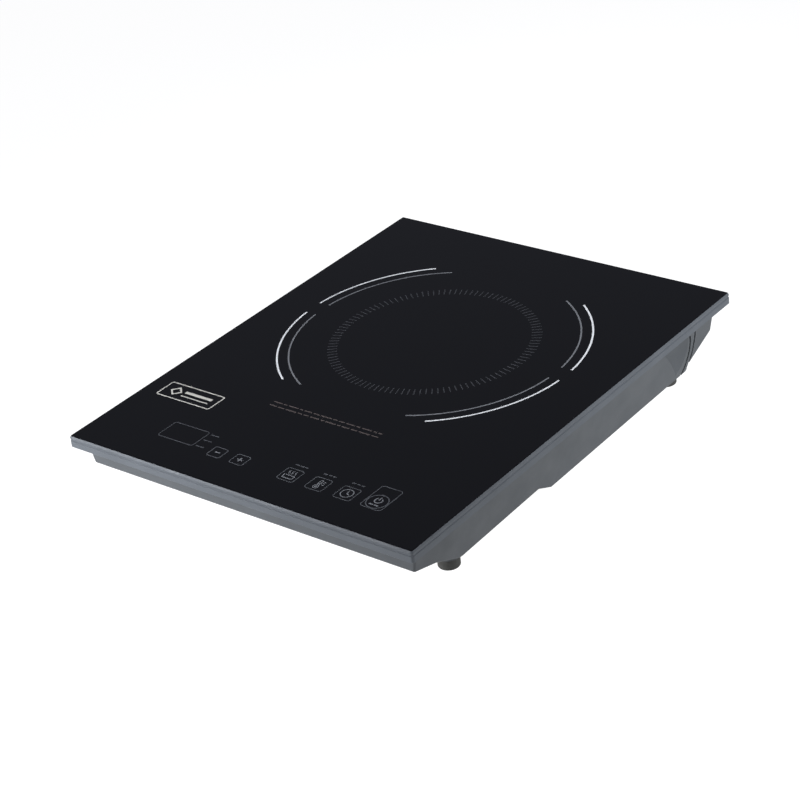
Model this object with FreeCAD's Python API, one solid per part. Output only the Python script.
"""Portable electric induction cooktop: glass top, rim, lower housing and everything inside it.

Millimetres. The origin is on the table under the middle of the rim, +X to the right as the
user stands at the keys, +Y to the back and +Z up.
"""
import FreeCAD, Part
import math
import os

Vector = FreeCAD.Vector

# ---------------------------------------------------------------- driving dimensions
TOP_W = 300.0            # rim, left to right
TOP_D = 378.0            # rim, front to back
HEIGHT = 55.0            # table to glass top
RIM_H = 8.9              # glass top to the rim's lower edge
RIM_CORNER_R = 2.0
GLASS_T = 4.0
GLASS_CORNER_R = 1.2
LIP = 1.0                # how far the rim stands out round the glass
WALL = 2.5               # plastic wall thickness
GAP = 0.2                # clearance between parts that drop into each other

# Outer profile of the rim: height below the glass top and how far it is set in.
# A steep bevel lies beside the glass, with a shallow undercut below it.
RIM_PROFILE = [
    (RIM_H, 0.5),
    (RIM_H - 0.5, 0.0),
    (4.0, 0.0),
    (3.6, 0.45),
    (1.4, 0.0),
    (0.2, 0.8),
]

# Lower housing. Its side walls lean in towards the bottom.
PAN_HALF_W = 143.8       # half width at the underside of the rim
PAN_LEAN = 0.204         # how far a side wall leans in, per mm of depth
PAN_FRONT = -179.5
PAN_REAR = 177.0
PAN_EDGE_R = 1.5
FRONT_FLOOR_Z = 9.4      # floor at the front feet
STEP_FLOOR_Z = 11.9      # floor in front of the step down to the deep floor
DEEP_FLOOR_Z = 4.0       # lowest line of the deep floor
REAR_FLOOR_Z = 6.4       # deep floor where it ends, below the rear chamfer

# A dished scoop in the rear of each side wall. The flat flank in front of it ends in a long curve.
SCOOP_Y = 122.8
SCOOP_Z = 30.3
SCOOP_R = 22.0           # radius of the dish on the wall
SCOOP_DEPTH = 5.0
SCOOP_TOP_Z = 39.0
FLANK_Y = 35.3           # centre and radius of the flank's end
FLANK_Z = -40.3
FLANK_R = 110.0

# Two curved air slots behind each scoop: centre y and z, radius, and how far forward each one runs
SLOT_W = 2.0
SLOT_TOP_Z = 38.5
SLOT_START_X = 133.0
SIDE_SLOTS = [
    (117.4, 26.5, 30.6, 139.5),
    (102.8, 29.6, 50.6, 146.5),
]

# Cooking zone, as seen from above
ZONE_X = -2.0
ZONE_Y = 35.0

# Feet
FOOT_R = 7.7
FOOT_X = 125.1
FRONT_FOOT_Y = -126.4
REAR_FOOT_Y = 137.1
FRONT_FOOT_TOP = 8.6
REAR_FOOT_TOP = 5.4
FOOT_SEAT = 2.6          # where a foot screw's head bears
FOOT_BOSS_R = 9.2

# Coil assembly
COIL_IN_R = 22.0
COIL_OUT_R = 84.0
COIL_T = 4.6
CARRIER_T = 4.5
CARRIER_R = 90.0
COIL_POST_R = 97.0       # circle of the three coil posts
COIL_POST_ANGLES = (90.0, 210.0, 330.0)
FERRITE_COUNT = 8
MICA_T = 0.8

# Cooling fan
FAN_X = -74.0
FAN_Y = 100.0
FAN_SIZE = 80.0
FAN_T = 18.0
FAN_BOTTOM = 12.0
FAN_HOLE_PITCH = 71.5
BLADE_COUNT = 9
SHAFT_R = 1.5
BEARING_CLEARANCE = 0.03

# Power board
BOARD_X = (-20.0, 118.0)
BOARD_Y = (-118.0, 56.0)
BOARD_BOTTOM = 17.0
BOARD_T = 1.6

# Heat sink, and the two power devices on its front strip
SINK_X = (20.0, 94.0)
SINK_Y = (60.0, 130.0)
SINK_BASE = 19.5
SINK_BASE_T = 4.0
SINK_FLANGE = 8.0        # how far the base stands out past the fins on each side
SINK_FIN_BOTTOM = 11.5
SINK_FIN_TOP = 32.0
SINK_STRIP_Y = 76.0      # in front of this line the base is bare for the power devices
FIN_T = 1.6
FIN_PITCH = 5.6
DEVICE_XS = (36.0, 76.0)
DEVICE_HOLE_Y = 71.0
DEVICE_T = 4.8

# Terminal blocks at the right edge of the power board
TERMINAL_YS = (-8.0, 8.0, 28.0, 42.0)
TERMINAL_X = 109.0
TERMINAL_H = 9.0
LEAD_DROP_X = 116.8      # where the coil's leads come down beside the terminals

# Boxed parts on the power board: x span, y span and height
RESONANT_CAPACITOR = ((60.0, 102.0), (-104.0, -78.0), 21.0)
BUS_CAPACITOR = ((62.0, 100.0), (-74.0, -54.0), 28.0)
MAINS_CAPACITOR = ((-8.0, 16.0), (-66.0, -54.0), 12.0)
CURRENT_TRANSFORMER = ((96.0, 112.0), (-44.0, -30.0), 13.0)
CHIPS = [
    ((6.0, 24.0), (22.0, 29.0), 3.4),
    ((34.0, 44.0), (20.0, 26.0), 3.4),
    ((60.0, 70.0), (-10.0, -4.0), 3.4),
]
SOCKETS = [
    ((-15.0, -7.0), (8.0, 14.0), 6.0),
    ((4.0, 12.0), (-14.0, -8.0), 6.0),
    ((60.0, 76.0), (-114.0, -108.0), 6.0),
]

# Round parts on the power board: centre, radius and height
SMALL_CAPACITORS = [(38.0, -64.0, 5.0, 16.0), (50.5, -64.0, 5.0, 16.0), (-10.0, -40.0, 4.0, 11.0)]
BUZZER = (50.0, 40.0, 6.0, 8.0)

# Mains choke, fuse and varistor
CHOKE_X = 28.0
CHOKE_Y = -94.0
CHOKE_OUT_R = 13.0
CHOKE_IN_R = 7.5
CHOKE_H = 10.0
CHOKE_WIRE = 1.5
CHOKE_BARE_TURNS = (3, 4, 11, 12)    # places of the sixteen that carry no wire
FUSE_X = -12.0
FUSE_Y = (-104.0, -82.0)
FUSE_Z = 4.5             # above the board
FUSE_R = 2.9
FUSE_CLIP_YS = (-103.0, -89.0)
VARISTOR_X = 2.0
VARISTOR_Y = (-76.0, -71.5)
VARISTOR_R = 7.5

# Control board, under the keys
CONTROL_X = (-112.0, 112.0)
CONTROL_Y = (-171.0, -105.0)
CONTROL_BOTTOM = 40.0
KEY_PAD_R = 4.0
KEYS = [(-40.2, -156.5), (-20.0, -156.5), (23.2, -155.1), (47.2, -155.1), (71.0, -155.1), (94.9, -153.6)]
DISPLAY_CENTRE = (-78.1, -148.8)
DISPLAY_SIZE = (31.0, 17.0)
DIGIT_COUNT = 4
LAMP_R = 1.5
LAMP_COLUMN = [(-56.5, -141.5), (-56.5, -149.0), (-56.5, -156.5)]
LAMP_ROW_Y = -142.5      # lamps over the three function keys
CABLE_X = (61.0, 75.0)
CABLE_T = 0.8

# Cord inlet in the rear wall
INLET_X = 96.0
INLET_Z = 35.6
INLET_BORE_R = 3.6
GLAND_SLEEVE_R = 5.9
GLAND_FLANGE_R = 7.6
GLAND_LIP_R = 6.5        # small lip that snaps in behind the wall
GLAND_INNER_T = 3.5
GLAND_OUTER_T = 6.0

# Ribs
FLOOR_RIB_T = 1.6
FLOOR_RIB_X = (-120.0, -30.0)
FLOOR_RIB_YS = (-115.0, -90.0, -65.0)
CROSS_RIB_XS = (-95.0, -55.0)
GUSSET_T = 1.4
GUSSET_PITCH = 40.0
RAIL_Y = (-113.0, -103.0)    # rail across the rim, behind the control board

# Exhaust slots in the rear chamfer
REAR_SLOT_COUNT = 11
REAR_SLOT_FIRST_X = 4.0
REAR_SLOT_PITCH = 8.0
REAR_SLOT_W = 3.0
REAR_SLOT_Y = (155.0, 172.0)

# Intake slots under the fan
INTAKE_RADII = (8.0, 14.0, 20.0, 26.0, 32.0)
INTAKE_SLOT_W = 3.2

# Fasteners
SCREW_R = 1.45
PILOT_R = 1.5
CLEAR_R = 1.8
HEAD_R = 3.0

# ---------------------------------------------------------------- levels that follow
GLASS_BOTTOM = HEIGHT - GLASS_T
RIM_BOTTOM = HEIGHT - RIM_H
LEDGE_TOP = GLASS_BOTTOM - 0.6
LEDGE_BOTTOM = LEDGE_TOP - WALL
PAN_TOP = LEDGE_BOTTOM - GAP
COIL_TOP = GLASS_BOTTOM - MICA_T
COIL_BOTTOM = COIL_TOP - COIL_T
CARRIER_BOTTOM = COIL_BOTTOM - CARRIER_T
BOARD_TOP = BOARD_BOTTOM + BOARD_T
CONTROL_TOP = CONTROL_BOTTOM + BOARD_T
INNER_REAR = PAN_REAR - WALL
TOWER_X = 129.0
TOWER_YS = (-145.0, 15.0, 161.5)
TOWER_TOP = 30.0
TOWER_SEAT = 27.0        # where the housing screws' heads bear
LEDGE_W = 24.0
GLASS_HALF_W = TOP_W / 2 - LIP
GLASS_HALF_D = TOP_D / 2 - LIP
GLASS_GAP = 0.1          # clearance between the glass and the rim's lip


# ---------------------------------------------------------------- plain shapes
def box(xs, ys, zs):
    """A block between two values on each axis."""
    size = (xs[1] - xs[0], ys[1] - ys[0], zs[1] - zs[0])
    return Part.makeBox(*size, Vector(xs[0], ys[0], zs[0]))


def rounded_box(xs, ys, zs, radius):
    """A block with its four upright edges rounded."""
    block = box(xs, ys, zs)
    upright = [e for e in block.Edges if abs(e.tangentAt(e.FirstParameter).z) > 0.99]
    return block.makeFillet(radius, upright)


def centred(half_w, half_d, zs, radius):
    """A rounded block centred on the origin."""
    return rounded_box((-half_w, half_w), (-half_d, half_d), zs, radius)


def rod(x, y, zs, radius):
    """An upright cylinder."""
    return Part.makeCylinder(radius, zs[1] - zs[0], Vector(x, y, zs[0]))


def tube(x, y, zs, outer, inner):
    """An upright hollow cylinder."""
    return rod(x, y, zs, outer).cut(rod(x, y, zs, inner))


def rod_along(axis, start, length, radius):
    """A cylinder lying along a given direction."""
    return Part.makeCylinder(radius, length, Vector(*start), Vector(*axis))


def joined(shapes):
    """Solids that touch, fused into one."""
    first = shapes[0]
    return first.multiFuse(shapes[1:]).removeSplitter() if len(shapes) > 1 else first


def group(shapes):
    """Separate solids kept in one node."""
    return Part.makeCompound(shapes)


def turned(shape, degrees, x=0.0, y=0.0):
    """A copy turned about an upright line."""
    copy = shape.copy()
    copy.rotate(Vector(x, y, 0), Vector(0, 0, 1), degrees)
    return copy


def screw(x, y, seat, direction, length):
    """A pan-head screw whose head bears at seat; direction is +1 when its shank points up."""
    shank_zs = sorted((seat, seat + direction * length))
    head_zs = sorted((seat, seat - direction * 2.0))
    slot_zs = sorted((seat - direction * 2.0, seat - direction * 1.2))
    head = rod(x, y, head_zs, HEAD_R)
    cross = [
        box((x - 1.8, x + 1.8), (y - 0.4, y + 0.4), slot_zs),
        box((x - 0.4, x + 0.4), (y - 1.8, y + 1.8), slot_zs),
    ]
    return joined([head, rod(x, y, shank_zs, SCREW_R)]).cut(joined(cross))


def corner_path(points, radii):
    """A closed outline in the YZ plane with each corner rounded by a tangent arc."""
    corners = [Vector(0, y, z) for y, z in points]
    count = len(corners)
    trims = []
    for i in range(count):
        before = (corners[i - 1] - corners[i]).normalize()
        after = (corners[(i + 1) % count] - corners[i]).normalize()
        reach = radii[i] / math.tan(before.getAngle(after) / 2) if radii[i] else 0.0
        half = (before + after).normalize()
        start = corners[i] + before * reach
        end = corners[i] + after * reach
        centre = corners[i] + half * math.hypot(reach, radii[i])
        trims.append((start, centre - half * radii[i], end))
    edges = []
    for i in range(count):
        start, middle, end = trims[i]
        if radii[i]:
            edges.append(Part.Arc(start, middle, end).toShape())
        edges.append(Part.LineSegment(end, trims[(i + 1) % count][0]).toShape())
    return Part.Wire(edges)


def offset_inwards(points, distance):
    """The same outline with each side moved in; the points run anticlockwise seen from +X."""
    count = len(points)
    lines = []
    for i in range(count):
        y0, z0 = points[i]
        y1, z1 = points[(i + 1) % count]
        length = math.hypot(y1 - y0, z1 - z0)
        normal = (-(z1 - z0) / length, (y1 - y0) / length)
        lines.append((normal, normal[0] * y0 + normal[1] * z0 + distance))
    moved = []
    for i in range(count):
        (a, b), c = lines[i - 1]
        (d, e), f = lines[i]
        determinant = a * e - b * d
        moved.append(((c * e - b * f) / determinant, (a * f - c * d) / determinant))
    return moved


def slab_from(wire, half_w):
    """A YZ outline swept across the object from -half_w to +half_w."""
    face = Part.Face(wire)
    face.translate(Vector(-half_w, 0, 0))
    return face.extrude(Vector(2 * half_w, 0, 0))


def prism_y(points, ys):
    """An XZ outline swept along Y."""
    corners = [Vector(x, ys[0], z) for x, z in points]
    return Part.Face(Part.makePolygon(corners + corners[:1])).extrude(Vector(0, ys[1] - ys[0], 0))


def smooth_tube(points, radius, bend):
    """A round wire along straight runs joined by tangent arcs."""
    corners = [Vector(*p) for p in points]
    edges = []
    last = corners[0]
    for i in range(1, len(corners) - 1):
        before = (corners[i - 1] - corners[i]).normalize()
        after = (corners[i + 1] - corners[i]).normalize()
        reach = bend / math.tan(before.getAngle(after) / 2)
        half = (before + after).normalize()
        start = corners[i] + before * reach
        end = corners[i] + after * reach
        middle = corners[i] + half * (math.hypot(reach, bend) - bend)
        edges.append(Part.LineSegment(last, start).toShape())
        edges.append(Part.Arc(start, middle, end).toShape())
        last = end
    edges.append(Part.LineSegment(last, corners[-1]).toShape())
    path = Part.Wire(edges)
    circle = Part.Circle(corners[0], corners[1] - corners[0], radius).toShape()
    return path.makePipeShell([Part.Wire(circle)], True, False)


# ---------------------------------------------------------------- places on the lower housing
def half_width(z):
    """Half the housing's outer width at a height."""
    return PAN_HALF_W - PAN_LEAN * (RIM_BOTTOM - z)


PAN_OUTLINE = [
    (PAN_FRONT, PAN_TOP),
    (-178.5, 30.2),
    (-154.8, 22.8),
    (-127.5, FRONT_FLOOR_Z),
    (-39.5, STEP_FLOOR_Z),
    (-23.4, DEEP_FLOOR_Z),
    (149.6, REAR_FLOOR_Z),
    (150.2, 11.6),
    (PAN_REAR, 27.4),
    (PAN_REAR, PAN_TOP),
]
PAN_RADII = [0.0, 2.5, 20.0, 12.0, 2.0, 1.8, 1.8, 1.0, 2.5, 0.0]


def floor_z(y):
    """Underside of the housing at a place along it, ignoring the rounded corners."""
    for (y0, z0), (y1, z1) in zip(PAN_OUTLINE[1:], PAN_OUTLINE[2:]):
        if y0 <= y <= y1:
            return z0 + (z1 - z0) * (y - y0) / (y1 - y0)
    return PAN_TOP


def inner_floor_z(y):
    """Upper face of the housing's floor, low enough for a post to reach into it."""
    return floor_z(y) + WALL / 2


def coil_posts():
    """Centres of the three posts that carry the coil."""
    for angle in COIL_POST_ANGLES:
        a = math.radians(angle)
        yield ZONE_X + COIL_POST_R * math.cos(a), ZONE_Y + COIL_POST_R * math.sin(a)


def fan_holes():
    """Centres of the fan frame's four screw holes."""
    for sx in (-1, 1):
        for sy in (-1, 1):
            yield FAN_X + sx * FAN_HOLE_PITCH / 2, FAN_Y + sy * FAN_HOLE_PITCH / 2


def board_holes():
    """Centres of the power board's four screw holes."""
    for x in (BOARD_X[0] + 6, BOARD_X[1] - 6):
        for y in (BOARD_Y[0] + 6, BOARD_Y[1] - 6):
            yield x, y


def control_holes():
    """Centres of the control board's four screw holes."""
    for x in (CONTROL_X[0] + 5, CONTROL_X[1] - 5):
        for y in (CONTROL_Y[0] + 3.5, CONTROL_Y[1] - 3.5):
            yield x, y


def towers():
    """Centres of the six towers that join the housing to the rim."""
    for x in (-TOWER_X, TOWER_X):
        for y in TOWER_YS:
            yield x, y


def feet():
    """Name, centre and top height of each foot."""
    for side, x in (("left", -FOOT_X), ("right", FOOT_X)):
        yield "front_" + side, x, FRONT_FOOT_Y, FRONT_FOOT_TOP
        yield "rear_" + side, x, REAR_FOOT_Y, REAR_FOOT_TOP


# ---------------------------------------------------------------- outer shells
def glass_plate():
    """Flat ceramic glass with ground upper edges."""
    plate = centred(GLASS_HALF_W, GLASS_HALF_D, (GLASS_BOTTOM, HEIGHT), GLASS_CORNER_R)
    top_edges = [e for e in plate.Edges if e.BoundBox.ZMin > HEIGHT - 0.01]
    return plate.makeChamfer(0.25, top_edges)


def glass_adhesive():
    """Bead of silicone between the glass and the rim's ledge."""
    zs = (LEDGE_TOP, GLASS_BOTTOM)
    outer = centred(GLASS_HALF_W - 2, GLASS_HALF_D - 2, zs, 2.0)
    return outer.cut(centred(GLASS_HALF_W - 12, GLASS_HALF_D - 12, zs, 2.0))


def rim_outline(below_top, inset):
    """The rim's outline at one height of its profile."""
    x = TOP_W / 2 - inset
    y = TOP_D / 2 - inset
    r = RIM_CORNER_R - inset
    z = HEIGHT - below_top
    bulge = r * (1 - math.sqrt(0.5))
    edges = []
    for sx, sy, along_x in ((1, 1, False), (-1, 1, True), (-1, -1, False), (1, -1, True)):
        beside = Vector(sx * x, sy * (y - r), z)
        above = Vector(sx * (x - r), sy * y, z)
        start, end = (above, beside) if along_x else (beside, above)
        middle = Vector(sx * (x - bulge), sy * (y - bulge), z)
        edges.append((start, middle, end))
    parts = []
    for i, (start, middle, end) in enumerate(edges):
        parts.append(Part.Arc(start, middle, end).toShape())
        parts.append(Part.LineSegment(end, edges[(i + 1) % 4][0]).toShape())
    return Part.Wire(parts)


def rim_shell():
    """Skirt, ledge for the glass and the tongue that enters the lower housing."""
    skirt = Part.makeLoft([rim_outline(*level) for level in RIM_PROFILE], True, True)
    hollow = centred(TOP_W / 2 - WALL, TOP_D / 2 - WALL, (RIM_BOTTOM - 1, LEDGE_BOTTOM), 1.0)
    recess_x = GLASS_HALF_W + GLASS_GAP
    recess_y = GLASS_HALF_D + GLASS_GAP
    recess = centred(recess_x, recess_y, (LEDGE_TOP, HEIGHT + 1), GLASS_CORNER_R + GLASS_GAP)
    window = centred(TOP_W / 2 - LEDGE_W, TOP_D / 2 - LEDGE_W, (LEDGE_BOTTOM - 1, LEDGE_TOP + 1), 6.0)
    tongue_x = PAN_HALF_W - WALL - 0.9
    zs = (RIM_BOTTOM - 3, LEDGE_BOTTOM)
    ys = (PAN_FRONT + WALL + 0.9, INNER_REAR - 0.9)
    tongue = rounded_box((-tongue_x, tongue_x), ys, zs, 3.0)
    tongue = tongue.cut(box((-tongue_x + 1.8, tongue_x - 1.8), (ys[0] + 1.8, ys[1] - 1.8), zs))
    return skirt.cut(hollow).cut(recess).cut(window), tongue


def rim_gussets():
    """Small ribs under the overhang, between the skirt and the lower housing."""
    zs = (RIM_BOTTOM + 0.6, LEDGE_BOTTOM + 0.5)
    half = GUSSET_T / 2
    side_x = (PAN_HALF_W + 0.6, TOP_W / 2 - WALL / 2)
    front_y = (-TOP_D / 2 + WALL / 2, PAN_FRONT - 0.6)
    rear_y = (PAN_REAR + 0.6, TOP_D / 2 - WALL / 2)
    ribs = []
    for i in range(-4, 5):
        y = i * GUSSET_PITCH
        ribs.append(box(side_x, (y - half, y + half), zs))
        ribs.append(box((-side_x[1], -side_x[0]), (y - half, y + half), zs))
    for i in range(-3, 4):
        x = i * GUSSET_PITCH
        ribs.append(box((x - half, x + half), front_y, zs))
        ribs.append(box((x - half, x + half), rear_y, zs))
    return ribs


def rim_frame():
    """The one-piece plastic frame that shows all round the glass."""
    shell, tongue = rim_shell()
    rail_x = TOP_W / 2 - LEDGE_W + 1
    rail = box((-rail_x, rail_x), RAIL_Y, (LEDGE_BOTTOM, LEDGE_TOP))
    parts = [shell, tongue, rail] + rim_gussets()
    pilots = []
    for x, y in towers():
        parts.append(rod(x, y, (TOWER_TOP, LEDGE_BOTTOM + 0.5), 4.0))
        pilots.append(rod(x, y, (TOWER_TOP - 1, LEDGE_BOTTOM - 4), PILOT_R))
    for x, y in control_holes():
        parts.append(rod(x, y, (CONTROL_TOP, LEDGE_BOTTOM + 0.5), 3.0))
        pilots.append(rod(x, y, (CONTROL_TOP - 1, LEDGE_BOTTOM - 0.5), PILOT_R))
    return joined(parts).cut(joined(pilots))


def scoop_dish(side, radius):
    """The ball that hollows out a side wall's scoop."""
    ball_r = (SCOOP_R ** 2 + SCOOP_DEPTH ** 2) / (2 * SCOOP_DEPTH)
    outward = Vector(side, 0, -PAN_LEAN).normalize()
    centre = Vector(side * half_width(SCOOP_Z), SCOOP_Y, SCOOP_Z) + outward * (ball_r - SCOOP_DEPTH)
    return Part.makeSphere(ball_r + radius, centre)


def scoop_shapes(thicker):
    """Both scoops, or the same shapes made thicker by the wall's thickness, for the inside."""
    shapes = []
    for side in (-1, 1):
        xs = sorted((side * 100, side * 160))
        room = box(xs, (100, 160), (0, SCOOP_TOP_Z + thicker))
        flank = rod_along((1, 0, 0), (xs[0], FLANK_Y, FLANK_Z), 60, FLANK_R - thicker)
        shapes.append(scoop_dish(side, thicker).common(room).cut(flank))
    return shapes


def housing_outside():
    """Outer form of the lower housing as a full solid."""
    form = slab_from(corner_path(PAN_OUTLINE, PAN_RADII), TOP_W / 2)
    low = half_width(0)
    high = half_width(PAN_TOP)
    trim = prism_y([(-low, 0), (low, 0), (high, PAN_TOP), (-high, PAN_TOP)], (-TOP_D / 2, TOP_D / 2))
    form = form.common(trim)
    chain = []
    for edge in form.Edges:
        middle = edge.CenterOfMass
        on_side = abs(abs(middle.x) - half_width(middle.z)) < 0.3
        if on_side and middle.z < PAN_TOP - 0.1:
            chain.append(edge)
    form = form.makeFillet(PAN_EDGE_R, chain)
    return form.cut(joined(scoop_shapes(0.0)))


def housing_inside():
    """The hollow of the lower housing."""
    raised = [(y, z + (3 if z == PAN_TOP else 0)) for y, z in PAN_OUTLINE]
    inner = offset_inwards(raised, WALL)
    radii = [0.0, 1.0, 20.0, 12.0, 1.0, 1.0, 0.0, 0.5, 1.0, 0.0]
    form = slab_from(corner_path(inner, radii), TOP_W / 2)
    low = half_width(0) - WALL
    high = half_width(PAN_TOP + 3) - WALL
    ys = (-TOP_D / 2, TOP_D / 2)
    trim = prism_y([(-low, 0), (low, 0), (high, PAN_TOP + 3), (-high, PAN_TOP + 3)], ys)
    return form.common(trim).cut(joined(scoop_shapes(WALL)))


def intake_slots():
    """Rings of air slots under the fan, crossed by spokes."""
    zs = (0, 20)
    half = INTAKE_SLOT_W / 2
    rings = [tube(FAN_X, FAN_Y, zs, r + half, r - half) for r in INTAKE_RADII]
    reach = INTAKE_RADII[-1] + INTAKE_SLOT_W
    spokes = []
    for i in range(4):
        bar = box((FAN_X - reach, FAN_X + reach), (FAN_Y - 1.4, FAN_Y + 1.4), zs)
        spokes.append(turned(bar, 22.5 + 45 * i, FAN_X, FAN_Y))
    return joined(rings).cut(joined(spokes))


def side_slots():
    """Two curved air slots behind each scoop, open at the floor's edge."""
    slots = []
    for side in (-1, 1):
        start_x = min(side * SLOT_START_X, side * (SLOT_START_X + 20))
        for y, z, radius, low_y in SIDE_SLOTS:
            outer = rod_along((1, 0, 0), (start_x, y, z), 20, radius + SLOT_W / 2)
            inner = rod_along((1, 0, 0), (start_x, y, z), 20, radius - SLOT_W / 2)
            room = box((start_x, start_x + 20), (low_y, 160), (0, SLOT_TOP_Z))
            slots.append(outer.cut(inner).common(room))
    return slots


def rear_slots():
    """A row of exhaust slots in the rear chamfer, behind the heat sink."""
    half = REAR_SLOT_W / 2
    slots = []
    for i in range(REAR_SLOT_COUNT):
        x = REAR_SLOT_FIRST_X + i * REAR_SLOT_PITCH
        slots.append(box((x - half, x + half), REAR_SLOT_Y, (0, 30)))
    return slots


def floor_ribs():
    """Stiffening ribs on the floor, left of the power board."""
    zs = (inner_floor_z(FLOOR_RIB_YS[0]), STEP_FLOOR_Z + WALL + 5)
    half = FLOOR_RIB_T / 2
    cross_y = (FLOOR_RIB_YS[0], FLOOR_RIB_YS[-1])
    ribs = [box(FLOOR_RIB_X, (y - half, y + half), zs) for y in FLOOR_RIB_YS]
    ribs += [box((x - half, x + half), cross_y, zs) for x in CROSS_RIB_XS]
    return ribs


def housing_posts():
    """Every post, tower and boss that stands on the housing's floor."""
    posts = floor_ribs()
    for x, y in towers():
        posts.append(rod(x, y, (inner_floor_z(y), TOWER_TOP), 5.5))
    for x, y in coil_posts():
        posts.append(rod(x, y, (inner_floor_z(y), CARRIER_BOTTOM), 4.0))
    for x, y in fan_holes():
        posts.append(rod(x, y, (inner_floor_z(y), FAN_BOTTOM), 3.5))
    for x, y in board_holes():
        posts.append(rod(x, y, (inner_floor_z(y), BOARD_BOTTOM), 3.5))
    for x, y in sink_holes():
        posts.append(rod(x, y, (inner_floor_z(y), SINK_BASE), 3.5))
    for name, x, y, top in feet():
        posts.append(rod(x, y, (top, inner_floor_z(y)), FOOT_BOSS_R))
        posts.append(rod(x, y, (inner_floor_z(y), top + 16), 4.0))
    return posts


def housing_holes():
    """Screw holes, counterbores, the cord's hole and all air slots."""
    cutters = [intake_slots()] + side_slots() + rear_slots()
    for x, y in towers():
        cutters.append(rod(x, y, (TOWER_SEAT - 1, TOWER_TOP + 1), CLEAR_R))
        cutters.append(rod(x, y, (0, TOWER_SEAT), 3.6))
    for x, y in coil_posts():
        cutters.append(rod(x, y, (CARRIER_BOTTOM - 12, CARRIER_BOTTOM + 1), PILOT_R))
    for x, y in fan_holes():
        cutters.append(rod(x, y, (floor_z(y) + 1.2, FAN_BOTTOM + 1), PILOT_R))
    for x, y in board_holes():
        cutters.append(rod(x, y, (floor_z(y) + 1.2, BOARD_BOTTOM + 1), PILOT_R))
    for x, y in sink_holes():
        cutters.append(rod(x, y, (SINK_BASE - 8, SINK_BASE + 1), PILOT_R))
    for name, x, y, top in feet():
        cutters.append(rod(x, y, (top - 1, top + 13), PILOT_R))
    hole_r = GLAND_SLEEVE_R + 0.1
    cutters.append(rod_along((0, 1, 0), (INLET_X, PAN_REAR - 10, INLET_Z), 20, hole_r))
    return cutters


def lower_housing():
    """Moulded tray that carries everything inside."""
    shell = housing_outside().cut(housing_inside())
    return joined([shell] + housing_posts()).cut(joined(housing_holes()))


def foot(x, y, top):
    """Rubber foot with a soft lower edge and a sunk screw hole."""
    body = rod(x, y, (0, top), FOOT_R)
    edge = [e for e in body.Edges if e.BoundBox.ZMax < 0.01]
    body = body.makeFillet(1.2, edge)
    return body.cut(rod(x, y, (0, FOOT_SEAT), 3.6)).cut(rod(x, y, (0, top), CLEAR_R))


def foot_screws():
    """One screw up through each foot."""
    return group([screw(x, y, FOOT_SEAT, 1, top + 9.4) for name, x, y, top in feet()])


def housing_screws():
    """Screws that pull the housing up to the rim."""
    return group([screw(x, y, TOWER_SEAT, 1, 13.0) for x, y in towers()])


def cord_gland():
    """Rubber gland that lines the cord's hole in the rear wall, with a flange on each side."""
    inner_face = INNER_REAR - 0.6
    spans = [
        (inner_face - GLAND_INNER_T, GLAND_INNER_T, GLAND_LIP_R),
        (inner_face, PAN_REAR - inner_face, GLAND_SLEEVE_R),
        (PAN_REAR, GLAND_OUTER_T, GLAND_FLANGE_R),
    ]
    rings = [rod_along((0, 1, 0), (INLET_X, y, INLET_Z), length, r) for y, length, r in spans]
    bore = rod_along((0, 1, 0), (INLET_X, inner_face - 5, INLET_Z), 20, INLET_BORE_R)
    return joined(rings).cut(bore)


# ---------------------------------------------------------------- coil assembly
def mica_sheet():
    """Insulating disc between the coil and the glass, open at the sensor."""
    return tube(ZONE_X, ZONE_Y, (COIL_TOP, GLASS_BOTTOM), CARRIER_R - 2, 10.0)


def coil_winding():
    """Flat spiral of stranded wire, as one ring of its true size."""
    return tube(ZONE_X, ZONE_Y, (COIL_BOTTOM, COIL_TOP), COIL_OUT_R, COIL_IN_R)


def coil_carrier():
    """Plastic spider under the winding, with three ears for its screws."""
    zs = (CARRIER_BOTTOM, COIL_BOTTOM)
    plate = rod(ZONE_X, ZONE_Y, zs, CARRIER_R)
    rim = tube(ZONE_X, ZONE_Y, (COIL_BOTTOM, COIL_TOP - 0.6), CARRIER_R, COIL_OUT_R + 0.5)
    hub = tube(ZONE_X, ZONE_Y, (COIL_BOTTOM, COIL_TOP - 0.6), COIL_IN_R - 0.5, 11.0)
    solids = [plate, rim, hub]
    holes = [rod(ZONE_X, ZONE_Y, (zs[0] - 1, COIL_TOP), 9.6)]
    for angle in COIL_POST_ANGLES:
        arm = box((ZONE_X + CARRIER_R - 8, ZONE_X + COIL_POST_R), (ZONE_Y - 6, ZONE_Y + 6), zs)
        solids.append(turned(arm, angle, ZONE_X, ZONE_Y))
    for x, y in coil_posts():
        solids.append(rod(x, y, zs, 6.0))
        holes.append(rod(x, y, (zs[0] - 1, zs[1] + 1), CLEAR_R))
    for i in range(FERRITE_COUNT):
        arc = tube(0, 0, (zs[0] - 1, zs[1] + 1), 78.0, 30.0)
        wedge_points = [Vector(0, 0, zs[0] - 1), Vector(90, 22, zs[0] - 1), Vector(90, -22, zs[0] - 1)]
        wedge = Part.Face(Part.makePolygon(wedge_points + wedge_points[:1])).extrude(Vector(0, 0, 8))
        hole = arc.common(wedge)
        hole.translate(Vector(ZONE_X, ZONE_Y, 0))
        holes.append(turned(hole, 360 / FERRITE_COUNT * (i + 0.5), ZONE_X, ZONE_Y))
    return joined(solids).cut(joined(holes))


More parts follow.
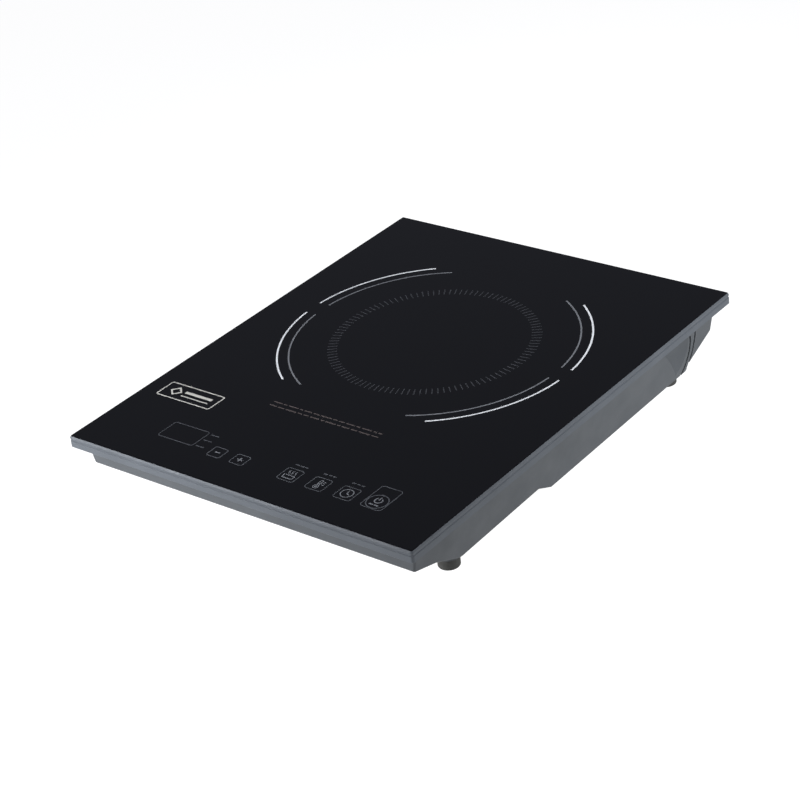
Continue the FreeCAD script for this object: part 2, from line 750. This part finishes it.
def ferrite_bars():
    """Ferrite bars glued under the carrier's spokes."""
    zs = (CARRIER_BOTTOM - 4.5, CARRIER_BOTTOM)
    bar = rounded_box((ZONE_X + 28, ZONE_X + 78), (ZONE_Y - 5, ZONE_Y + 5), zs, 0.8)
    return group([turned(bar, 360 / FERRITE_COUNT * i, ZONE_X, ZONE_Y) for i in range(FERRITE_COUNT)])


def coil_screws():
    """Screws through the carrier's ears into the housing's posts."""
    return group([screw(x, y, COIL_BOTTOM, -1, 12.0) for x, y in coil_posts()])


def sensor_holder():
    """Silicone cup that presses the sensor to the glass."""
    cup = rod(ZONE_X, ZONE_Y, (CARRIER_BOTTOM - 1, GLASS_BOTTOM - 0.3), 9.0)
    cup = cup.cut(rod(ZONE_X, ZONE_Y, (GLASS_BOTTOM - 3.3, GLASS_BOTTOM), 4.0))
    return cup.cut(rod(ZONE_X, ZONE_Y, (0, GLASS_BOTTOM), 1.5))


def glass_sensor():
    """Temperature sensor bead under the middle of the zone."""
    return joined([
        rod(ZONE_X, ZONE_Y, (GLASS_BOTTOM - 3.3, GLASS_BOTTOM), 3.8),
        rod(ZONE_X, ZONE_Y, (GLASS_BOTTOM - 5, GLASS_BOTTOM - 3), 1.2),
    ])


def sensor_lead():
    """The sensor's twin lead, down and forward to its plug on the board."""
    top = (ZONE_X, ZONE_Y, GLASS_BOTTOM - 5)
    points = [top, (ZONE_X, ZONE_Y, 30.0), (8.0, 10.0, 29.0), (8.0, -7.3, BOARD_TOP + 4.5)]
    return smooth_tube(points, 1.1, 3.0)


# ---------------------------------------------------------------- power board and its parts
def sink_holes():
    """Centres of the heat sink's four screw holes, on its two flanges."""
    for x in (SINK_X[0] - SINK_FLANGE / 2, SINK_X[1] + SINK_FLANGE / 2):
        for y in (SINK_Y[0] + 10, SINK_Y[1] - 8):
            yield x, y


def heat_sink():
    """Aluminium extrusion with fins along X, in the fan's air stream."""
    base_zs = (SINK_BASE, SINK_BASE + SINK_BASE_T)
    parts = [box((SINK_X[0] - SINK_FLANGE, SINK_X[1] + SINK_FLANGE), SINK_Y, base_zs)]
    y = SINK_STRIP_Y + 2
    while y < SINK_Y[1]:
        parts.append(box(SINK_X, (y, y + FIN_T), (SINK_FIN_BOTTOM, SINK_FIN_TOP)))
        y += FIN_PITCH
    for y in (SINK_Y[0] + 1, SINK_Y[0] + 8):
        parts.append(box(SINK_X, (y, y + FIN_T), (SINK_FIN_BOTTOM, SINK_BASE)))
    holes = [rod(x, y, (SINK_BASE - 1, SINK_BASE + 6), CLEAR_R) for x, y in sink_holes()]
    holes += [rod(x, DEVICE_HOLE_Y, (SINK_BASE, SINK_BASE + 6), PILOT_R) for x in DEVICE_XS]
    return joined(parts).cut(joined(holes))


def device(x, half_w, lead_xs):
    """A flat power device on the heat sink's front strip, its leads bent down into the board."""
    base = SINK_BASE + SINK_BASE_T
    body = box((x - half_w, x + half_w), (60.5, 75.0), (base, base + DEVICE_T))
    body = body.cut(rod(x, DEVICE_HOLE_Y, (base - 1, base + DEVICE_T + 1), CLEAR_R))
    solids = [body]
    for offset in lead_xs:
        xs = (x + offset - 0.6, x + offset + 0.6)
        solids.append(box(xs, (52.0, 60.5), (base + 1.5, base + 2.1)))
        solids.append(box(xs, (52.0, 52.6), (BOARD_TOP, base + 1.6)))
    return joined(solids)


def power_transistor():
    """Insulated-gate transistor that drives the coil."""
    return device(DEVICE_XS[0], 8.0, (-5.4, 0.0, 5.4))


def bridge_rectifier():
    """Four-lead mains rectifier."""
    return device(DEVICE_XS[1], 12.0, (-7.5, -2.5, 2.5, 7.5))


def device_screws():
    """Screws that clamp the two devices to the heat sink."""
    seat = SINK_BASE + SINK_BASE_T + DEVICE_T
    return group([screw(x, DEVICE_HOLE_Y, seat, -1, 8.4) for x in DEVICE_XS])


def sink_screws():
    """Screws that hold the heat sink to its posts."""
    return group([screw(x, y, SINK_BASE + SINK_BASE_T, -1, 11.0) for x, y in sink_holes()])


def power_board():
    """Main circuit board, notched for the coil post that passes through it."""
    zs = (BOARD_BOTTOM, BOARD_TOP)
    plate = rounded_box(BOARD_X, BOARD_Y, zs, 2.0)
    cuts = [rod(x, y, (zs[0] - 1, zs[1] + 1), CLEAR_R) for x, y in board_holes()]
    cuts += [rod(x, y, (zs[0] - 1, zs[1] + 1), 6.0) for x, y in coil_posts()]
    return plate.cut(joined(cuts))


def board_screws():
    """Screws of the power board."""
    return group([screw(x, y, BOARD_TOP, -1, 5.0) for x, y in board_holes()])


def on_board(place, radius):
    """A boxed part standing on the board, its upright corners rounded."""
    xs, ys, height = place
    return rounded_box(xs, ys, (BOARD_TOP, BOARD_TOP + height), radius)


def filter_choke():
    """Toroidal choke: core ring with copper turns wound round it."""
    base = BOARD_TOP + 1.0
    core_zs = (base + 1.2, base + 1.2 + CHOKE_H)
    core = tube(CHOKE_X, CHOKE_Y, core_zs, CHOKE_OUT_R, CHOKE_IN_R)
    ys = (CHOKE_Y - CHOKE_WIRE / 2, CHOKE_Y + CHOKE_WIRE / 2)
    inner_x = (CHOKE_X + CHOKE_IN_R - 0.1, CHOKE_X + CHOKE_OUT_R + 0.1)
    outer_x = (inner_x[0] - CHOKE_WIRE + 0.1, inner_x[1] + CHOKE_WIRE)
    turns = []
    for i in range(16):
        if i in CHOKE_BARE_TURNS:
            continue
        outer = box(outer_x, ys, (base, core_zs[1] + 1.2))
        inner = box(inner_x, ys, (core_zs[0] - 0.1, core_zs[1] + 0.1))
        turns.append(turned(outer.cut(inner), 22.5 * i, CHOKE_X, CHOKE_Y))
    stand = tube(CHOKE_X, CHOKE_Y, (BOARD_TOP, base), CHOKE_OUT_R - 1, 4.0)
    return core, group(turns), stand


def small_capacitors():
    """Electrolytic capacitors standing on the board."""
    cans = []
    for x, y, r, height in SMALL_CAPACITORS:
        can = rod(x, y, (BOARD_TOP, BOARD_TOP + height), r)
        top = [e for e in can.Edges if e.BoundBox.ZMin > BOARD_TOP + height - 0.01]
        cans.append(can.makeFillet(0.8, top))
    return group(cans)


def supply_transformer():
    """Small transformer of the low-voltage supply: core, bobbin and winding as one potted block."""
    zs = (BOARD_TOP, BOARD_TOP + 12.5)
    core = box((20.0, 38.0), (-36.0, -32.0), zs)
    other = box((20.0, 38.0), (-24.0, -20.0), zs)
    bobbin = rounded_box((22.0, 36.0), (-32.0, -24.0), (zs[0], zs[1] - 2), 1.5)
    return joined([core, other, bobbin])


def mains_fuse():
    """Glass fuse lying in its clips."""
    start = (FUSE_X, FUSE_Y[0], BOARD_TOP + FUSE_Z)
    return rod_along((0, 1, 0), start, FUSE_Y[1] - FUSE_Y[0], FUSE_R)


def fuse_clips():
    """The two spring clips that hold the fuse."""
    room_r = FUSE_R + 0.05
    clip_x = (FUSE_X - room_r - 0.95, FUSE_X + room_r + 0.95)
    mouth_x = (FUSE_X - 1.8, FUSE_X + 1.8)
    clips = []
    for y in FUSE_CLIP_YS:
        clip = box(clip_x, (y, y + 5.0), (BOARD_TOP, BOARD_TOP + FUSE_Z + 2))
        room = rod_along((0, 1, 0), (FUSE_X, y - 1, BOARD_TOP + FUSE_Z), 7.0, room_r)
        mouth = box(mouth_x, (y - 1, y + 6), (BOARD_TOP + FUSE_Z + 0.5, BOARD_TOP + FUSE_Z + 3))
        clips.append(clip.cut(room).cut(mouth))
    return group(clips)


def surge_varistor():
    """Disc varistor standing across the mains terminals."""
    front, rear = VARISTOR_Y
    middle = (front + rear) / 2
    disc = rod_along((0, 1, 0), (VARISTOR_X, front, BOARD_TOP + VARISTOR_R + 2), rear - front, VARISTOR_R)
    legs = []
    for x in (VARISTOR_X - 3, VARISTOR_X + 3):
        legs.append(box((x - 0.4, x + 0.4), (middle - 0.4, middle + 0.4), (BOARD_TOP, BOARD_TOP + 4)))
    return joined([disc] + legs)


def control_chips():
    """Controller, driver and comparator packages."""
    return group([on_board(place, 0.3) for place in CHIPS])


def buzzer():
    """Round sounder with its sound hole."""
    x, y, radius, height = BUZZER
    top = BOARD_TOP + height
    return rod(x, y, (BOARD_TOP, top), radius).cut(rod(x, y, (top - 1.5, top + 1), 1.2))


def power_terminals():
    """Screw blocks on the board for the cord's wires and for the coil's two leads."""
    xs = (TERMINAL_X - 5, TERMINAL_X + 5)
    return group([box(xs, (y - 5, y + 5), (BOARD_TOP, BOARD_TOP + TERMINAL_H)) for y in TERMINAL_YS])


def terminal_screws():
    """Screws on top of the terminal blocks."""
    xs = (TERMINAL_X - 3, TERMINAL_X + 3)
    seat = BOARD_TOP + TERMINAL_H
    screws = []
    for y in TERMINAL_YS:
        head = rod(TERMINAL_X, y, (seat, seat + 1.4), 2.6)
        screws.append(head.cut(box(xs, (y - 0.4, y + 0.4), (seat + 0.8, seat + 2))))
    return group(screws)


def coil_leads():
    """The coil's two stranded ends, each from the winding's edge to its terminal."""
    leads = []
    for y in TERMINAL_YS[:2]:
        start = (ZONE_X + COIL_OUT_R + 9.0, y + 16.0, COIL_BOTTOM + 2.3)
        outward = (LEAD_DROP_X, y + 16.0, COIL_BOTTOM + 2.3)
        down = (LEAD_DROP_X, y + 2.0, BOARD_TOP + 7.0)
        leads.append(smooth_tube([start, outward, down], 1.6, 5.0))
    return group(leads)


# ---------------------------------------------------------------- cooling fan
def fan_frame():
    """Square fan housing with its bore, base plate and bearing tube."""
    half = FAN_SIZE / 2
    xs = (FAN_X - half, FAN_X + half)
    ys = (FAN_Y - half, FAN_Y + half)
    zs = (FAN_BOTTOM, FAN_BOTTOM + FAN_T)
    body = rounded_box(xs, ys, zs, 4.0).cut(rod(FAN_X, FAN_Y, (zs[0] - 1, zs[1] + 1), half - 1.6))
    plate = rod(FAN_X, FAN_Y, (zs[0], zs[0] + 1.8), 15.0)
    struts = []
    for i in range(4):
        strut = box((FAN_X + 14, FAN_X + half - 1), (FAN_Y - 1.5, FAN_Y + 1.5), (zs[0], zs[0] + 1.8))
        struts.append(turned(strut, 20 + 90 * i, FAN_X, FAN_Y))
    bearing_tube = tube(FAN_X, FAN_Y, (zs[0], zs[0] + 12), 4.2, 3.0)
    bore = rod(FAN_X, FAN_Y, (zs[0] + 1.0, zs[0] + 13), 3.0)
    solid = joined([body, plate, bearing_tube] + struts).cut(bore)
    holes = [rod(x, y, (zs[0] - 1, zs[1] + 1), CLEAR_R) for x, y in fan_holes()]
    return solid.cut(joined(holes))


def fan_bearing():
    """Sleeve bearing pressed into the frame's tube."""
    return tube(FAN_X, FAN_Y, (FAN_BOTTOM + 2.0, FAN_BOTTOM + 12), 3.0, SHAFT_R + BEARING_CLEARANCE)


def fan_stator():
    """Laminated four-pole stator on the bearing tube."""
    zs = (FAN_BOTTOM + 3.4, FAN_BOTTOM + 10.4)
    ring = tube(FAN_X, FAN_Y, zs, 6.5, 4.2)
    poles = []
    for i in range(4):
        arm = box((FAN_X + 6, FAN_X + 10), (FAN_Y - 1.6, FAN_Y + 1.6), zs)
        poles.append(turned(arm, 90 * i, FAN_X, FAN_Y))
        shoe = tube(FAN_X, FAN_Y, zs, 11.6, 9.8)
        shoe = shoe.common(box((FAN_X + 5, FAN_X + 13), (FAN_Y - 5.5, FAN_Y + 5.5), zs))
        poles.append(turned(shoe, 90 * i, FAN_X, FAN_Y))
    return joined([ring] + poles)


def fan_shaft():
    """Steel shaft, fixed in the rotor."""
    return rod(FAN_X, FAN_Y, (FAN_BOTTOM + 3.0, FAN_BOTTOM + 15.0), SHAFT_R)


def fan_magnet():
    """Ring magnet inside the rotor's cup."""
    return tube(FAN_X, FAN_Y, (FAN_BOTTOM + 3.4, FAN_BOTTOM + 12.0), 14.4, 12.6)


def fan_blade():
    """One tilted blade from the cup to just inside the bore."""
    chord = 19.0
    middle_z = FAN_BOTTOM + FAN_T / 2 + 0.8
    plate = box((14.0, 40.0), (-chord / 2, chord / 2), (-0.6, 0.6))
    plate.rotate(Vector(0, 0, 0), Vector(1, 0, 0), 38.0)
    plate.translate(Vector(FAN_X, FAN_Y, middle_z))
    reach = tube(FAN_X, FAN_Y, (FAN_BOTTOM, FAN_BOTTOM + FAN_T), FAN_SIZE / 2 - 2.8, 14.8)
    return plate.common(reach)


def fan_rotor():
    """Hub cup with its ring of blades."""
    zs = (FAN_BOTTOM + 3.0, FAN_BOTTOM + FAN_T - 1.0)
    cup = rod(FAN_X, FAN_Y, zs, 16.0)
    cup = cup.cut(rod(FAN_X, FAN_Y, (zs[0] - 1, FAN_BOTTOM + 15.0), 14.4))
    blades = [turned(fan_blade(), 360 / BLADE_COUNT * i, FAN_X, FAN_Y) for i in range(BLADE_COUNT)]
    return joined([cup] + blades)


def fan_screws():
    """Long screws through the frame's corners into the housing."""
    return group([screw(x, y, FAN_BOTTOM + FAN_T, -1, FAN_T + 1.2) for x, y in fan_holes()])


def fan_lead():
    """The fan's twin lead, from its base plate to the power board."""
    start = (FAN_X + 17.0, FAN_Y - 41.0, FAN_BOTTOM + 4.0)
    points = [start, (FAN_X + 24.0, FAN_Y - 52.0, 22.0), (-14.0, 30.0, 24.0), (-11.0, 14.7, BOARD_TOP + 4.5)]
    return smooth_tube(points, 1.2, 4.0)


def lead_sockets():
    """Pin headers on the power board for the fan, the sensor and the control cable."""
    return group([box(xs, ys, (BOARD_TOP, BOARD_TOP + height)) for xs, ys, height in SOCKETS])


# ---------------------------------------------------------------- controls
def control_board():
    """Long narrow board under the keys and the display."""
    plate = rounded_box(CONTROL_X, CONTROL_Y, (CONTROL_BOTTOM, CONTROL_TOP), 2.0)
    holes = [rod(x, y, (CONTROL_BOTTOM - 1, CONTROL_TOP + 1), CLEAR_R) for x, y in control_holes()]
    return plate.cut(joined(holes))


def control_screws():
    """Screws that hold the control board up to the rim."""
    return group([screw(x, y, CONTROL_BOTTOM, 1, 7.0) for x, y in control_holes()])


def display_module():
    """Digit display close under the glass."""
    x, y = DISPLAY_CENTRE
    half_w = DISPLAY_SIZE[0] / 2
    half_d = DISPLAY_SIZE[1] / 2
    zs = (CONTROL_TOP, GLASS_BOTTOM - 0.4)
    block = box((x - half_w, x + half_w), (y - half_d, y + half_d), zs)
    pitch = (DISPLAY_SIZE[0] - 3.4) / DIGIT_COUNT
    windows = []
    for i in range(DIGIT_COUNT):
        left = x - half_w + 2.0 + i * pitch
        windows.append(box((left, left + pitch - 0.6), (y - 6, y + 6), (zs[1] - 0.5, zs[1] + 1)))
    return block.cut(joined(windows))


def key_springs():
    """Hollow conductive pads that join each key's area on the glass to the board."""
    zs = (CONTROL_TOP, GLASS_BOTTOM)
    return group([tube(x, y, zs, KEY_PAD_R, KEY_PAD_R - 1.4) for x, y in KEYS])


def indicator_lamps():
    """Small lamps beside the display and over the function keys."""
    places = LAMP_COLUMN + [(x, LAMP_ROW_Y) for x, y in KEYS[2:5]]
    lamps = []
    for x, y in places:
        body = rod(x, y, (CONTROL_TOP, GLASS_BOTTOM - 1.2), LAMP_R)
        top = [e for e in body.Edges if e.BoundBox.ZMin > GLASS_BOTTOM - 1.3]
        lamps.append(body.makeFillet(1.2, top))
    return group(lamps)


def touch_chip():
    """The touch controller's package, under the control board."""
    return rounded_box((-10, 2), (-136, -126), (CONTROL_BOTTOM - 2.2, CONTROL_BOTTOM), 0.4)


def control_cable():
    """Flat cable from the control board down to the power board."""
    half = CABLE_T / 2
    upper_y = -126.0
    lower_y = -111.0
    socket_top = BOARD_TOP + 6
    middle_z = (CONTROL_BOTTOM + socket_top) / 2
    return joined([
        box(CABLE_X, (upper_y - half, upper_y + half), (middle_z - half, CONTROL_BOTTOM)),
        box(CABLE_X, (upper_y - half, lower_y + half), (middle_z - half, middle_z + half)),
        box(CABLE_X, (lower_y - half, lower_y + half), (socket_top, middle_z + half)),
    ])


# ---------------------------------------------------------------- all nodes
def all_nodes():
    """Every node's name and shape."""
    choke_core, choke_turns, choke_stand = filter_choke()
    nodes = {
        "glass_plate": glass_plate(),
        "glass_adhesive": glass_adhesive(),
        "rim_frame": rim_frame(),
        "lower_housing": lower_housing(),
        "foot_screws": foot_screws(),
        "housing_screws": housing_screws(),
        "cord_gland": cord_gland(),
        "mica_sheet": mica_sheet(),
        "coil_winding": coil_winding(),
        "coil_carrier": coil_carrier(),
        "ferrite_bars": ferrite_bars(),
        "coil_screws": coil_screws(),
        "sensor_holder": sensor_holder(),
        "glass_sensor": glass_sensor(),
        "sensor_lead": sensor_lead(),
        "coil_leads": coil_leads(),
        "heat_sink": heat_sink(),
        "sink_screws": sink_screws(),
        "power_transistor": power_transistor(),
        "bridge_rectifier": bridge_rectifier(),
        "device_screws": device_screws(),
        "power_board": power_board(),
        "board_screws": board_screws(),
        "resonant_capacitor": on_board(RESONANT_CAPACITOR, 1.5),
        "bus_capacitor": on_board(BUS_CAPACITOR, 1.5),
        "mains_capacitor": on_board(MAINS_CAPACITOR, 1.5),
        "choke_core": choke_core,
        "choke_turns": choke_turns,
        "choke_stand": choke_stand,
        "small_capacitors": small_capacitors(),
        "supply_transformer": supply_transformer(),
        "current_transformer": on_board(CURRENT_TRANSFORMER, 0.8),
        "mains_fuse": mains_fuse(),
        "fuse_clips": fuse_clips(),
        "surge_varistor": surge_varistor(),
        "control_chips": control_chips(),
        "buzzer": buzzer(),
        "power_terminals": power_terminals(),
        "terminal_screws": terminal_screws(),
        "lead_sockets": lead_sockets(),
        "fan_frame": fan_frame(),
        "fan_bearing": fan_bearing(),
        "fan_stator": fan_stator(),
        "fan_shaft": fan_shaft(),
        "fan_magnet": fan_magnet(),
        "fan_rotor": fan_rotor(),
        "fan_screws": fan_screws(),
        "fan_lead": fan_lead(),
        "control_board": control_board(),
        "control_screws": control_screws(),
        "display_module": display_module(),
        "key_springs": key_springs(),
        "indicator_lamps": indicator_lamps(),
        "touch_chip": touch_chip(),
        "control_cable": control_cable(),
    }
    for name, x, y, top in feet():
        nodes["foot_" + name] = foot(x, y, top)
    return nodes


os.makedirs("parts", exist_ok=True)
for node_name, node_shape in all_nodes().items():
    node_shape.exportStep(f"parts/{node_name}.step")
